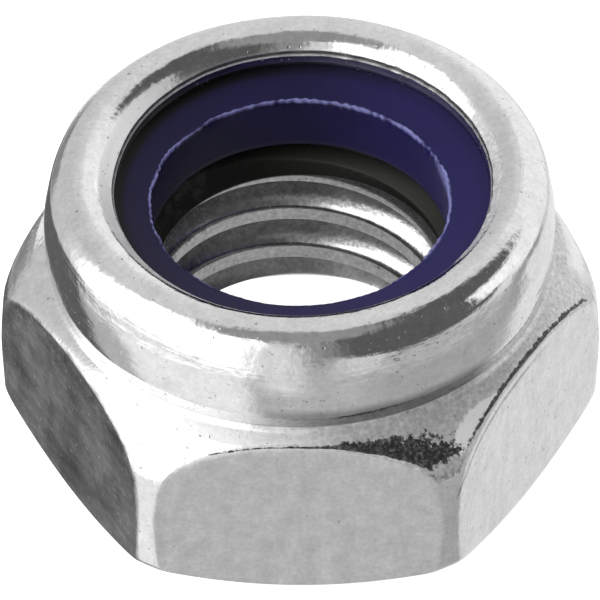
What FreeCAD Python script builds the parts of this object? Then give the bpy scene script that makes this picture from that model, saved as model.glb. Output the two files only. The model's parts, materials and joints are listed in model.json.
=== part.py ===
"""Hexagon lock nut with a nylon insert, M5 coarse thread, 8 mm across flats and 4.9 mm high.

Millimetres, +Z up. The origin is the centre of the flat bearing face, +Z is the thread's axis, and the
hexagon has flats towards -Y and +Y and corners on the X axis. The nut is two pieces: one cold formed steel
body, whose thin collar is rolled in at the top, and the nylon ring that the collar holds.
"""

import FreeCAD
import Part

import math
import os

from FreeCAD import Vector

# Thread, ISO metric coarse: 60 degree flanks, right hand
THREAD_DIAMETER = 5.0
THREAD_PITCH = 0.8
CREST_ALLOWANCE = 0.16  # how much wider than the basic minor diameter the hole is drilled
THREAD_PHASE = -0.165  # height of a groove's middle on the +X side
ENTRY_OVERSIZE = 0.8  # how much wider than the thread the countersink in the bearing face is
ENTRY_ANGLE = 90.0  # from side to side
EXIT_DEPTH = 0.5  # of the steeper countersink under the insert
EXIT_ANGLE = 52.0

# Hexagon
ACROSS_FLATS = 8.0
HEXAGON_HEIGHT = 3.2  # from the bearing face to the collar's foot
CORNER_TRIM = 0.06  # how far the corners are short of sharp
BEARING_INSET = 0.23  # how far the bearing face's edge lies inside the flats
CHAMFER_ANGLE = 30.0  # of both ends, from the bearing face
BARREL_HEIGHT = 1.5  # where the corners are widest
BARREL_DROP_LOW = 0.04  # how far the corners draw in by the lower chamfer
BARREL_DROP_HIGH = 0.09  # and by the upper one
BARREL_RADIUS = 5.5
CHAMFER_ROUNDING = 0.22
SHOULDER_ROUNDING = 1.25

# Collar
COLLAR_HEIGHT = 1.71 # from its foot to the nut's top
COLLAR_INSET = 0.16  # how far its side lies inside the flats
COLLAR_WALL = 0.47
FOOT_DRAW = 0.08  # how far the collar draws in at its foot
FOOT_HEIGHT = 0.31
FOOT_RADIUS = 0.55
LEAN = 0.15  # how far its side leans in by the top
LEAN_HEIGHT = 0.85  # over this height
LEAN_RADIUS = 1.5
ROLL_RADIUS = 0.465  # of the rounded top, which shrinks to fit between the side and the slope
ROLL_REACH = 0.51  # how far the rolled edge reaches in from the pocket's wall
ROLL_SLOPE = 52.0  # of the rolled edge at its end
ROLL_DROP = 0.28  # from the nut's top down to the rolled edge's corner
ROLL_THICKNESS = 0.38
SHEARED_EDGE = 0.28  # height of the rolled edge's end face
SHEARED_UNDERCUT = 0.04

# Pocket and nylon insert
SEAT_RISE = 0.12  # height of the insert's seat above the collar's foot
POCKET_CORNER_BEVEL = 0.18  # between the pocket's wall and its rolled roof
INSERT_GRIP = 0.53  # how much narrower than the thread the insert's bore is
INSERT_LIP_DROP = 0.09  # how far its open top falls from the rolled edge to its bore
INSERT_FOOT_CHAMFER = 0.08

FLAT_COUNT = 6
FULL_TURN = 360.0
OVERSHOOT = 0.5  # how far a cutting shape stands past what it cuts

# What the sizes above give
OVERALL_HEIGHT = HEXAGON_HEIGHT + COLLAR_HEIGHT
SEAT_HEIGHT = HEXAGON_HEIGHT + SEAT_RISE
COLLAR_RADIUS = ACROSS_FLATS / 2 - COLLAR_INSET
POCKET_RADIUS = COLLAR_RADIUS - COLLAR_WALL
RIM_RADIUS = POCKET_RADIUS - ROLL_REACH
INSERT_BORE_RADIUS = (THREAD_DIAMETER - INSERT_GRIP) / 2
TRIANGLE_HEIGHT = THREAD_PITCH * math.sqrt(3) / 2  # of the sharp triangle behind the thread's form
CREST_RADIUS = (THREAD_DIAMETER - TRIANGLE_HEIGHT * 5 / 4 + CREST_ALLOWANCE) / 2


def tangent_length(before, corner, after, radius):
    """Distance from a corner to where an arc of that radius touches its sides, and half its angle."""
    to_before = (before - corner).normalize()
    to_after = (after - corner).normalize()
    half_angle = to_before.getAngle(to_after) / 2
    return radius / math.tan(half_angle), half_angle


def rounded_outline(corners):
    """Closed wire in the XZ plane through (radius, height, rounding) corners.

    A rounded corner becomes a tangent arc. Where two arcs need more than the side between them, both shrink.
    """
    points = [Vector(radius, 0, height) for radius, height, _ in corners]
    count = len(points)
    lengths = []
    half_angles = []
    for i, (_, _, rounding) in enumerate(corners):
        length, half_angle = tangent_length(points[i - 1], points[i], points[(i + 1) % count], rounding)
        lengths.append(length)
        half_angles.append(half_angle)
    for i in range(count):
        following = (i + 1) % count
        share = points[i].distanceToPoint(points[following]) / max(lengths[i] + lengths[following], 1e-9)
        if share < 1:
            lengths[i] *= share
            lengths[following] *= share
    edges = []
    starts = []
    ends = []
    for i, corner in enumerate(points):
        to_before = (points[i - 1] - corner).normalize()
        to_after = (points[(i + 1) % count] - corner).normalize()
        starts.append(corner + to_before * lengths[i])
        ends.append(corner + to_after * lengths[i])
        if lengths[i] > 0:
            radius = lengths[i] * math.tan(half_angles[i])
            inward = (to_before + to_after).normalize()
            middle = corner + inward * (radius / math.sin(half_angles[i]) - radius)
            edges.append(Part.Arc(starts[i], middle, ends[i]).toShape())
    for i, end in enumerate(ends):
        start = starts[(i + 1) % count]
        if end.distanceToPoint(start) > 1e-6:
            edges.append(Part.LineSegment(end, start).toShape())
    return Part.Wire(Part.__sortEdges__(edges))


def turned(corners):
    """Solid of revolution about Z with that half section."""
    face = Part.Face(rounded_outline(corners))
    return face.revolve(Vector(0, 0, 0), Vector(0, 0, 1), FULL_TURN)


def polar(radius, degrees, height):
    """Point at that radius, angle and height."""
    angle = math.radians(degrees)
    return Vector(radius * math.cos(angle), radius * math.sin(angle), height)


def chamfer_rise(radial):
    """Height that a chamfer gains over a radial distance."""
    return radial * math.tan(math.radians(CHAMFER_ANGLE))


def pocket_roof():
    """The underside of the rolled edge as outline corners, from the rim out to the pocket's wall."""
    roof = OVERALL_HEIGHT - ROLL_THICKNESS
    return [
        (RIM_RADIUS - SHEARED_UNDERCUT, OVERALL_HEIGHT - ROLL_DROP - SHEARED_EDGE, 0),
        (POCKET_RADIUS - POCKET_CORNER_BEVEL, roof, 0),
        (POCKET_RADIUS, roof - POCKET_CORNER_BEVEL, 0),
    ]


def blank():
    """The turned form of the body before the hexagon is cut, solid to the axis below the insert's seat."""
    bearing_radius = ACROSS_FLATS / 2 - BEARING_INSET
    corner_radius = ACROSS_FLATS / 2 / math.cos(math.pi / FLAT_COUNT) - CORNER_TRIM
    foot_radius = COLLAR_RADIUS - FOOT_DRAW
    low_radius = corner_radius - BARREL_DROP_LOW
    high_radius = corner_radius - BARREL_DROP_HIGH
    slope_top = RIM_RADIUS + ROLL_DROP / math.tan(math.radians(ROLL_SLOPE))
    return turned([
        (0, 0, 0),
        (bearing_radius, 0, 0),
        (low_radius, chamfer_rise(low_radius - bearing_radius), CHAMFER_ROUNDING),
        (corner_radius, BARREL_HEIGHT, BARREL_RADIUS),
        (high_radius, HEXAGON_HEIGHT - chamfer_rise(high_radius - foot_radius), SHOULDER_ROUNDING),
        (foot_radius, HEXAGON_HEIGHT, 0),
        (COLLAR_RADIUS, HEXAGON_HEIGHT + FOOT_HEIGHT, FOOT_RADIUS),
        (COLLAR_RADIUS, OVERALL_HEIGHT - LEAN_HEIGHT, LEAN_RADIUS),
        (COLLAR_RADIUS - LEAN, OVERALL_HEIGHT, ROLL_RADIUS),
        (slope_top, OVERALL_HEIGHT, ROLL_RADIUS),
        (RIM_RADIUS, OVERALL_HEIGHT - ROLL_DROP, 0),
        *pocket_roof(),
        (POCKET_RADIUS, SEAT_HEIGHT, 0),
        (0, SEAT_HEIGHT, 0),
    ])


def hexagon_surround():
    """Everything outside the hexagon, from below the bearing face up to the collar's foot."""
    sharp_radius = ACROSS_FLATS / 2 / math.cos(math.pi / FLAT_COUNT)
    bottom = -OVERSHOOT
    height = HEXAGON_HEIGHT - bottom
    step = FULL_TURN / FLAT_COUNT
    corners = [polar(sharp_radius, i * step, bottom) for i in range(FLAT_COUNT + 1)]
    prism = Part.Face(Part.makePolygon(corners)).extrude(Vector(0, 0, height))
    disc = Part.makeCylinder(sharp_radius + OVERSHOOT, height, Vector(0, 0, bottom))
    return disc.cut(prism)


def drill():
    """The hole's drill at the thread's crests. Its wall is one face for each side of the hexagon."""
    step = FULL_TURN / FLAT_COUNT
    arcs = []
    for i in range(FLAT_COUNT):
        through = [polar(CREST_RADIUS, (i + share) * step, -OVERSHOOT) for share in (0, 0.5, 1)]
        arcs.append(Part.Arc(*through).toShape())
    return Part.Face(Part.Wire(arcs)).extrude(Vector(0, 0, SEAT_HEIGHT + 2 * OVERSHOOT))


def entry_countersink():
    """Cone that opens downward to the bearing face."""
    slope = math.tan(math.radians(ENTRY_ANGLE / 2))
    depth = (THREAD_DIAMETER + ENTRY_OVERSIZE) / 2 / slope
    height = depth + OVERSHOOT
    return Part.makeCone(height * slope, 0, height, Vector(0, 0, -OVERSHOOT))


def exit_countersink():
    """Cone that opens upward from the thread's crests to the insert's seat."""
    flare = EXIT_DEPTH * math.tan(math.radians(EXIT_ANGLE / 2))
    foot = Vector(0, 0, SEAT_HEIGHT - EXIT_DEPTH)
    return Part.makeCone(CREST_RADIUS, CREST_RADIUS + flare, EXIT_DEPTH, foot)


def thread_turns():
    """Ridges that cut the thread's groove, one for each turn, from below the bearing face past the seat."""
    root = THREAD_DIAMETER / 2
    inner = CREST_RADIUS - TRIANGLE_HEIGHT / 8
    root_half = THREAD_PITCH / 16
    inner_half = root_half + (root - inner) * math.tan(math.radians(30))
    section = Part.makePolygon([
        Vector(inner, 0, -inner_half),
        Vector(root, 0, -root_half),
        Vector(root, 0, root_half),
        Vector(inner, 0, inner_half),
        Vector(inner, 0, -inner_half),
    ])
    helix = Part.Wire(Part.makeHelix(THREAD_PITCH, THREAD_PITCH, root))
    turn = helix.makePipeShell([section], True, True)
    lowest = THREAD_PHASE - THREAD_PITCH
    count = math.ceil((SEAT_HEIGHT + THREAD_PITCH - lowest) / THREAD_PITCH)
    return [turn.translated(Vector(0, 0, lowest + i * THREAD_PITCH)) for i in range(count)]


def nut_body():
    """The steel body: turned blank, hexagon, drilled and countersunk hole, thread."""
    body = blank().cut(hexagon_surround())
    body = body.cut(drill())
    body = body.cut(entry_countersink())
    body = body.cut(exit_countersink())
    return body.cut(thread_turns())


def nylon_insert():
    """The nylon ring, which fills the pocket under the rolled edge and grips the bolt's thread."""
    open_top = OVERALL_HEIGHT - ROLL_DROP - SHEARED_EDGE
    return turned([
        (INSERT_BORE_RADIUS, open_top - INSERT_LIP_DROP, 0),
        *pocket_roof(),
        (POCKET_RADIUS, SEAT_HEIGHT, 0),
        (INSERT_BORE_RADIUS + INSERT_FOOT_CHAMFER, SEAT_HEIGHT, 0),
        (INSERT_BORE_RADIUS, SEAT_HEIGHT + INSERT_FOOT_CHAMFER, 0),
    ])


def write(name, shape):
    """Writes one piece, which is one closed solid."""
    print(name, len(shape.Solids), "solid, valid", shape.isValid(), round(shape.Volume, 3), "mm3")
    shape.Solids[0].exportStep(os.path.join("parts", name + ".step"))


os.makedirs("parts", exist_ok=True)
write("nut_body", nut_body())
write("nylon_insert", nylon_insert())
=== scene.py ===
"""Looks of the nylon insert lock nut: plated steel body, blue nylon ring, floor, light and camera.

Lengths are in millimetres until a mesh is made, and materials measure them in metres. Both pieces are rings
about the thread's axis: rows of points go round the axis at the same angles, and each row has a radius and a
height at every angle. A pair named as a range has the value where a share is 0, then the value where it is 1.
"""

import json
import math
from types import SimpleNamespace

import bpy
import numpy as np
from mathutils import Matrix, Vector

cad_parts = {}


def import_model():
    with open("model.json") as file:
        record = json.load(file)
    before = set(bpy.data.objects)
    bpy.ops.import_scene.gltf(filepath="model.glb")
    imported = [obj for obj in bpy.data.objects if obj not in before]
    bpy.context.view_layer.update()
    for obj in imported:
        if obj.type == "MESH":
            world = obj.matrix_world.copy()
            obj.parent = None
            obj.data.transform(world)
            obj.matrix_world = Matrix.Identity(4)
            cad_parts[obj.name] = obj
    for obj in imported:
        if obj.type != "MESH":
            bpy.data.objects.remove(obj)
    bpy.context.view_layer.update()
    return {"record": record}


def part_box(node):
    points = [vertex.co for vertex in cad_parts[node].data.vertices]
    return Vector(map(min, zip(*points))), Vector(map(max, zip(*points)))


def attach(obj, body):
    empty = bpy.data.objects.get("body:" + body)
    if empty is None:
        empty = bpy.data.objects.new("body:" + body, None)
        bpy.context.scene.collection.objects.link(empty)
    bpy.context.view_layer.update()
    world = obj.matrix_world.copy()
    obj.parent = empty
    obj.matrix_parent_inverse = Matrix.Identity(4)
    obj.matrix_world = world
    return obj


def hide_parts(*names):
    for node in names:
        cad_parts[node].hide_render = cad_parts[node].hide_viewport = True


MM = 0.001

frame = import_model()

# Sizes read from the frame
_, body_high = (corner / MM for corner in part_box("nut_body"))
insert_low, insert_high = (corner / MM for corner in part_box("nylon_insert"))
mounts = {mount["name"]: mount for mount in frame["record"]["mounts"]}
FLAT_RADIUS = body_high.y
CORNER_RADIUS = body_high.x
TOP = body_high.z
SEAT = insert_low.z
ROOF = insert_high.z
POCKET_RADIUS = insert_high.x
CREST_RADIUS = mounts["thread"]["dims"]["r_mm"]
INSERT_BORE = mounts["insert_bore"]["dims"]["r_mm"]

# Thread and countersinks
THREAD_RADIUS = 2.5
PITCH = 0.8
ROOT_FLAT = PITCH / 8
FLANK_SLOPE = math.tan(math.radians(30))
THREAD_PHASE = -0.165
ENTRY_RADIUS = 2.9
EXIT_DEPTH = 0.5
EXIT_SLOPE = math.tan(math.radians(26))
EXIT_RADIUS = CREST_RADIUS + EXIT_DEPTH * EXIT_SLOPE
EXIT_TILT = 0.16
CREST_SOFTNESS = 0.03
FLANK_SOFTNESS = 0.14

# Hexagon
NECK_HEIGHT = 3.2
BEARING_RADIUS = FLAT_RADIUS - 0.23
CHAMFER_SLOPE = math.tan(math.radians(30))
CHAMFER_ROUND = 0.22
BARREL_HEIGHT = 1.5
BARREL_DROP_LOW = 0.04
BARREL_DROP_HIGH = 0.09
BARREL_PEAK = 0.005
BARREL_ROUND = 5.5
SHOULDER_ROUND = 1.25
CHAMFER_SOFTNESS = 0.08
CORNER_SOFTNESS = 0.025
FULL_SOFTNESS_SLOPE = 0.8

# Collar and rolled edge
COLLAR_RADIUS = FLAT_RADIUS - 0.16
FOOT_RADIUS = COLLAR_RADIUS - 0.08
FOOT_TOP = NECK_HEIGHT + 0.31
FOOT_ROUND = 0.55
LEAN = 0.15
LEAN_HEIGHT = 0.85
LEAN_ROUND = 1.5
ROLL_SLOPE = math.tan(math.radians(52))
ROLL_DROP = 0.28
ROLL_RADIUS = 0.458
RIM_RADIUS = POCKET_RADIUS - 0.51
RIM_TOP = TOP - ROLL_DROP
RIM_ROUND = 0.02
SLOPE_TOP = RIM_RADIUS + ROLL_DROP / ROLL_SLOPE
SHEARED_EDGE = 0.28
SHEARED_UNDERCUT = 0.04
# Steps down the sheared lip: outward of the rim, and below it
SHEARED_LIP = [(0.012, 0.035), (-0.030, 0.070), (-0.022, 0.105)]
POCKET_BEVEL = 0.18

# The real edge was rolled a little unevenly
SLOPE_FOOT = RIM_RADIUS + 0.08
UNEVEN_REACH = 0.055
UNEVEN_TILT = 0.012
UNEVEN_FADE = 0.5
RIGHT_REACH = 0.09
RIGHT_LIFT = 0.02
LEFT_LIFT = 0.055
WAVE_RADIUS = 0.006
WAVE_ORDERS = range(3, 12)
WAVE_MARGIN = 0.001
SEED = 7

# It was left ragged where it was sheared, most at the back and right
RAGGED_REACH = 0.007
RAGGED_RISE = 0.5
RAGGED_ORDERS = range(20, 90)
RAGGED_TURN = 50
RAGGED_MEAN = 0.25
RAGGED_SWING = 0.75
RAGGED_WIDTH = 0.03
UPPER_DROP = 0.02
UPPER_WIDTH = 0.035
LOWER_DROP = 0.09
LOWER_WIDTH = 0.030

# Insert
INSERT_LIP_DROP = 0.09
INSERT_FOOT = 0.08
# Steps of the bore's top edge: outward of the bore, and above the edge
INSERT_LIP = [(0.012, 0.004), (0.026, 0.008), (0.045, 0.014), (0.080, 0.020)]
BELOW_LIP = [0.09, 0.045, 0.020]

# Burr round the insert's bore
BURR_HEIGHT = 0.045
BURR_REACH = 0.026
BURR_MIDDLE = 0.012
BURR_RISE_WIDTH = 0.022
BURR_LEAN_WIDTH = 0.040
BURR_PALE_WIDTH = 0.036
BURR_ORDERS = range(20, 130)
BURR_DRIFT_ORDERS = range(2, 24)
BURR_MEAN = 0.66
BURR_DRIFT = 0.20
BURR_FINE = 0.10
BURR_LEAST = 0.22
LEAN_DRIFT = 0.5
LEAN_FINE = 0.30
LEAN_MOST = 1.2
FRONT = 1.5 * math.pi
FRONT_WEAR = 0.85
FRONT_WIDTH = 1.1
FRAYED = 0.62
FRAYED_TURN = 2
FRAYED_ARC = (0.86, 0.985)
FRAYED_WIDTH = 0.22
FRAYED_ABOVE = 0.01
# Radii of the painted shade on the nylon under the rolled edge
RIM_SHADE_RADII = (RIM_RADIUS - 0.24, RIM_RADIUS - 0.10)

# Finish of the steel; an arc is a range of the cosine of the angle from its middle
OUTSIDE_HEIGHTS = (NECK_HEIGHT + 0.12, NECK_HEIGHT)
SHOULDER_STEEPNESS = (0.74, 0.58)
FRONT_RIGHT_TURN = -45
FRONT_RIGHT_ARC = (0.62, 0.80)
FRONT_RIGHT_STEEPNESS = (0.985, 0.94)
PLAIN_COSINES = (-0.38, -0.56)
PLAIN_SINES = (0.25, -0.05)
FLAT_DEPTHS = (0.05, 0.01)
FLAT_SATIN = 0.45
RIM_REACH = 0.05
# The sheared face below these heights is painted near-black as shade
SHEARED_HEIGHTS = (RIM_TOP - 0.005, RIM_TOP - 0.03)
LIP_DROP = 0.07
LIP_WIDTH = 0.012
ROLLED_REACH = (0.06, 0.02)
ROLLED_SATIN = 0.8
WORN_LEFT_TURN = 200
WORN_LEFT_ARC = (0.15, 0.55)
WORN_RIGHT_TURN = -8
WORN_RIGHT_ARC = (0.80, 0.93)
WORN_RADII = (SLOPE_TOP - 0.01, SLOPE_TOP - 0.10)
WORN_FOOT = RIM_TOP - 0.01

# Sampling
SECTORS = 6
CORNER_ZONE = 3.2
CORNER_COLUMNS = 16
FLAT_COLUMNS = 44
ARC_STEP = math.radians(8)
RUN = 0.13
FINE_RUN = 0.01
BEARING_RUN = 0.25
INSERT_RUN = 0.09
SHORTEST_RUN = 2e-3
STEP_LENGTH = 0.10
STEP_TURN = math.radians(5)
HEXAGON_ROWS = 62
THREAD_ROWS = 104
THREAD_SAMPLES = 1500
THREAD_BLEND = 9
INSERT_COLUMNS = 1200


def column_angles():
    """Angles of the columns, in radians: one sector's columns, closer together at the hexagon's corner."""
    width = 360 / SECTORS
    near = np.linspace(-CORNER_ZONE, CORNER_ZONE, CORNER_COLUMNS, endpoint=False)
    far = np.linspace(CORNER_ZONE, width - CORNER_ZONE, FLAT_COLUMNS, endpoint=False)
    sector = np.concatenate([near, far])
    return np.radians(np.concatenate([sector + width * i for i in range(SECTORS)]))


BODY_ANGLES = column_angles()
INSERT_ANGLES = np.linspace(0, 2 * math.pi, INSERT_COLUMNS, endpoint=False)
FROM_FLAT = np.abs((BODY_ANGLES + math.pi / 3) % (math.pi / 3) - math.pi / 6)


def arc_points(before, corner, after, radius):
    """Points of the arc of that radius that touches both sides of a corner."""
    to_before = (before - corner) / np.linalg.norm(before - corner)
    to_after = (after - corner) / np.linalg.norm(after - corner)
    half = math.acos(np.clip(to_before @ to_after, -1, 1)) / 2
    length = radius / math.tan(half)
    inward = (to_before + to_after) / np.linalg.norm(to_before + to_after)
    centre = corner + inward * radius / math.sin(half)
    turn = math.pi - 2 * half
    start = corner + to_before * length - centre
    side = np.sign(start[0] * (corner - centre)[1] - start[1] * (corner - centre)[0])
    points = []
    for share in np.linspace(0, 1, max(3, math.ceil(turn / ARC_STEP) + 1)):
        angle = side * turn * share
        cosine = math.cos(angle)
        sine = math.sin(angle)
        points.append(centre + [start[0] * cosine - start[1] * sine, start[0] * sine + start[1] * cosine])
    return points


def subdivided(points, run):
    """Points along a path, no more than a run apart, without those that nearly coincide."""
    path = [points[0]]
    for point in points[1:]:
        start = path[-1]
        distance = np.linalg.norm(point - start)
        if distance >= SHORTEST_RUN:
            for share in np.linspace(0, 1, math.ceil(distance / run) + 1)[1:]:
                path.append(start + (point - start) * share)
    return np.array(path)


def section(corners, run=RUN):
    """Points (radius, height) along an open outline whose inner corners are rounded by their third value."""
    points = [np.array(corners[0][:2])]
    for before, corner, after in zip(corners, corners[1:], corners[2:]):
        middle = np.array(corner[:2])
        if corner[2] > 0:
            points.extend(arc_points(np.array(before[:2]), middle, np.array(after[:2]), corner[2]))
        else:
            points.append(middle)
    points.append(np.array(corners[-1][:2]))
    return subdivided(points, run)


def round_rows(points, angles):
    """Rows of circles, one for each point of a section."""
    return np.repeat(np.asarray(points)[:, None, :], len(angles), axis=1)


def soft_minimum(a, b, width):
    """Minimum of two values that blends over where they differ by less than the width."""
    mix = np.clip(0.5 + 0.5 * (b - a) / width, 0, 1)
    return b + (a - b) * mix - width * mix * (1 - mix)


def soft_maximum(a, b, width):
    """Maximum of two values, blended the same way."""
    return -soft_minimum(-a, -b, width)


def bell(offset, width):
    """Share that is 1 at no offset and falls off over the width."""
    return np.exp(-(offset / width) ** 2)


def smooth_share(value, ends):
    """Share that goes smoothly from 0 to 1 over a range."""
    start, stop = ends
    share = np.clip((value - start) / (stop - start), 0, 1)
    return share * share * (3 - 2 * share)


def arc_share(angles, turn, arc):
    """Share of an arc round the axis, whose middle is at a turn in degrees."""
    return smooth_share(np.cos(angles - math.radians(turn)), arc)


def waves(angles, orders, draw):
    """Smooth noise round the axis, of about unit size, with waves of the given orders."""
    total = np.zeros_like(angles)
    for order in orders:
        total += draw.normal() * np.cos(order * angles) + draw.normal() * np.sin(order * angles)
    return total / math.sqrt(len(orders))


def resampled(radius, height, count, blend=0):
    """Rows picked from finely sampled columns, closer together where a column bends."""
    across = np.diff(radius, axis=0)
    along = np.diff(height, axis=0)
    lengths = np.hypot(across, along)
    bearing = np.arctan2(along, across)
    turns = np.abs((np.diff(bearing, axis=0) + math.pi) % (2 * math.pi) - math.pi)
    effort = lengths / STEP_LENGTH
    effort[1:] += turns / STEP_TURN / 2
    effort[:-1] += turns / STEP_TURN / 2
    effort = sum(np.roll(effort, shift, axis=1) for shift in range(-blend, blend + 1)) / (2 * blend + 1)
    total = np.concatenate([np.zeros((1, radius.shape[1])), np.cumsum(effort, axis=0)])
    rows = np.empty((count, radius.shape[1], 2))
    for column in range(radius.shape[1]):
        stops = np.linspace(0, total[-1, column], count)
        rows[:, column, 0] = np.interp(stops, total[:, column], radius[:, column])
        rows[:, column, 1] = np.interp(stops, total[:, column], height[:, column])
    return rows


def hexagon_rows():
    """Rows of the hexagon, from the bearing face's edge to the collar's foot."""
    low_radius = CORNER_RADIUS - BARREL_DROP_LOW
    high_radius = CORNER_RADIUS - BARREL_DROP_HIGH
    outline = section([
        (BEARING_RADIUS, 0, 0),
        (low_radius, (low_radius - BEARING_RADIUS) * CHAMFER_SLOPE, CHAMFER_ROUND),
        (CORNER_RADIUS + BARREL_PEAK, BARREL_HEIGHT, BARREL_ROUND),
        (high_radius, NECK_HEIGHT - (high_radius - FOOT_RADIUS) * CHAMFER_SLOPE, SHOULDER_ROUND),
        (FOOT_RADIUS, NECK_HEIGHT, 0),
    ], FINE_RUN)
    steps = np.linalg.norm(np.diff(outline, axis=0), axis=1)
    slope = np.abs(np.diff(outline[:, 0])) / steps
    slope = np.append(slope, slope[-1])[:, None]
    turned = outline[:, :1]
    height = outline[:, 1:]
    flat = FLAT_RADIUS / np.cos(FROM_FLAT)[None, :]
    softening = np.clip(slope / FULL_SOFTNESS_SLOPE, 0, 1)
    radius = soft_minimum(turned, flat, CORNER_SOFTNESS + (CHAMFER_SOFTNESS - CORNER_SOFTNESS) * softening)
    return resampled(radius, np.broadcast_to(height, radius.shape), HEXAGON_ROWS)


def thread_rows():
    """Rows of the threaded hole, from the insert's seat down to the bearing face."""
    z = np.linspace(SEAT, 0, THREAD_SAMPLES)[:, None]
    groove = THREAD_PHASE + PITCH * BODY_ANGLES[None, :] / (2 * math.pi)
    off = (z - groove + PITCH / 2) % PITCH - PITCH / 2
    softness = np.where(off < 0, FLANK_SOFTNESS, CREST_SOFTNESS)
    flank = THREAD_RADIUS - (np.abs(off) - ROOT_FLAT / 2) / FLANK_SLOPE
    thread = soft_maximum(np.minimum(flank, THREAD_RADIUS), CREST_RADIUS, softness)
    entry = ENTRY_RADIUS - z
    depth = EXIT_DEPTH + EXIT_TILT * np.clip(np.cos(BODY_ANGLES), 0, 1)[None, :]
    leaving = EXIT_RADIUS - (SEAT - z) * (EXIT_RADIUS - CREST_RADIUS) / depth
    radius = np.maximum(np.maximum(thread, entry), leaving)
    return resampled(radius, np.broadcast_to(z, radius.shape), THREAD_ROWS, THREAD_BLEND)


def edge_share(radius, height):
    """How far a point goes with the rolled edge: fully at the rim, not at all at the bore or the seat."""
    share = np.clip((SLOPE_FOOT - radius) / (SLOPE_FOOT - RIM_RADIUS), 0, 1)
    share = share * np.clip((radius - INSERT_BORE) / (RIM_RADIUS - SHEARED_UNDERCUT - INSERT_BORE), 0, 1)
    return share * np.clip((height - SEAT) / UNEVEN_FADE, 0, 1)


def uneven(rows, angles):
    """Rows of the collar or insert with the rolled edge's uneven reach and a slight tilt."""
    radius = rows[..., 0]
    height = rows[..., 1]
    right = np.clip(np.cos(angles), 0, 1) ** 2
    left = np.clip(-np.cos(angles), 0, 1) ** 2
    reach = (RIGHT_REACH * right - UNEVEN_REACH * np.cos(2 * angles))[None, :]
    lift = (RIGHT_LIFT * right + LEFT_LIFT * left)[None, :]
    share = edge_share(radius, height)
    moved = rows.copy()
    moved[..., 0] += share * reach
    moved[..., 1] += share * (reach * ROLL_SLOPE + lift)
    rise = np.clip((height - NECK_HEIGHT) / (TOP - NECK_HEIGHT), 0, 1)
    moved[..., 1] += UNEVEN_TILT * rise * radius * np.cos(angles)[None, :]
    wave = WAVE_RADIUS * waves(angles, WAVE_ORDERS, np.random.default_rng(SEED))[None, :]
    moved[..., 0] += wave * rise * (radius > RIM_RADIUS - SHEARED_UNDERCUT - WAVE_MARGIN)
    return moved


def ragged(rows, angles):
    """Rows of the collar with the torn look of its sheared edge."""
    radius = rows[..., 0]
    height = rows[..., 1]
    draw = np.random.default_rng(SEED + 1)
    strength = np.clip(RAGGED_MEAN + RAGGED_SWING * np.cos(angles - math.radians(RAGGED_TURN)), 0, 1)
    first = RAGGED_REACH * strength * waves(angles, RAGGED_ORDERS, draw)
    second = RAGGED_REACH * strength * waves(angles, RAGGED_ORDERS, draw)
    near_edge = bell(radius - RIM_RADIUS, RAGGED_WIDTH)
    upper = near_edge * bell(height - RIM_TOP + UPPER_DROP, UPPER_WIDTH)
    lower = near_edge * bell(height - RIM_TOP + LOWER_DROP, LOWER_WIDTH)
    moved = rows.copy()
    moved[..., 0] += upper * first[None, :] + lower * second[None, :]
    moved[..., 1] += upper * second[None, :] * RAGGED_RISE
    return moved


def collar_section():
    """Outline of the collar, from its foot over the rolled edge and down the pocket to the seat."""
    return section([
        (FOOT_RADIUS, NECK_HEIGHT, 0),
        (COLLAR_RADIUS, FOOT_TOP, FOOT_ROUND),
        (COLLAR_RADIUS, TOP - LEAN_HEIGHT, LEAN_ROUND),
        (COLLAR_RADIUS - LEAN, TOP, ROLL_RADIUS),
        (SLOPE_TOP, TOP, ROLL_RADIUS),
        (RIM_RADIUS, RIM_TOP, RIM_ROUND),
        *((RIM_RADIUS + outward, RIM_TOP - drop, 0) for outward, drop in SHEARED_LIP),
        (RIM_RADIUS - SHEARED_UNDERCUT, RIM_TOP - SHEARED_EDGE, 0),
        (POCKET_RADIUS - POCKET_BEVEL, ROOF, 0),
        (POCKET_RADIUS, ROOF - POCKET_BEVEL, 0),
        (POCKET_RADIUS, SEAT, 0),
        (EXIT_RADIUS, SEAT, 0),
    ])


def body_rows():
    """All rows of the steel body, round its section and back to the first."""
    bearing = round_rows(section([(ENTRY_RADIUS, 0, 0), (BEARING_RADIUS, 0, 0)], BEARING_RUN), BODY_ANGLES)
    collar = round_rows(collar_section(), BODY_ANGLES)
    return np.concatenate([bearing[:-1], hexagon_rows()[:-1], collar[:-1], thread_rows()[:-1]])


def burr_shares(angles):
    """Height of the burr round the bore, from 0 to 1, and how far it leans, about -1 to 1."""
    draw = np.random.default_rng(SEED + 2)
    away_from_front = 1 - FRONT_WEAR * bell(angles - FRONT, FRONT_WIDTH)
    drift = waves(angles, BURR_DRIFT_ORDERS, draw)
    fine = waves(angles, BURR_ORDERS, draw)
    height = np.clip(BURR_MEAN + BURR_DRIFT * drift + BURR_FINE * fine, BURR_LEAST, 1)
    drift = waves(angles, BURR_DRIFT_ORDERS, draw)
    fine = waves(angles, BURR_ORDERS, draw)
    lean = np.clip(LEAN_DRIFT * drift + LEAN_FINE * fine, -LEAN_MOST, LEAN_MOST)
    return height * away_from_front, lean * away_from_front


def insert_section(open_top, edge):
    """Outline of the insert, from the top edge of its bore outward and round to that edge."""
    return section([
        (INSERT_BORE, edge, 0),
        *((INSERT_BORE + outward, edge + rise, 0) for outward, rise in INSERT_LIP),
        (RIM_RADIUS - SHEARED_UNDERCUT, open_top, 0),
        (POCKET_RADIUS - POCKET_BEVEL, ROOF, 0),
        (POCKET_RADIUS, ROOF - POCKET_BEVEL, 0),
        (POCKET_RADIUS, SEAT, 0),
        (INSERT_BORE + INSERT_FOOT, SEAT, 0),
        (INSERT_BORE, SEAT + INSERT_FOOT, 0),
        *((INSERT_BORE, edge - drop, 0) for drop in BELOW_LIP),
        (INSERT_BORE, edge, 0),
    ], INSERT_RUN)


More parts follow.
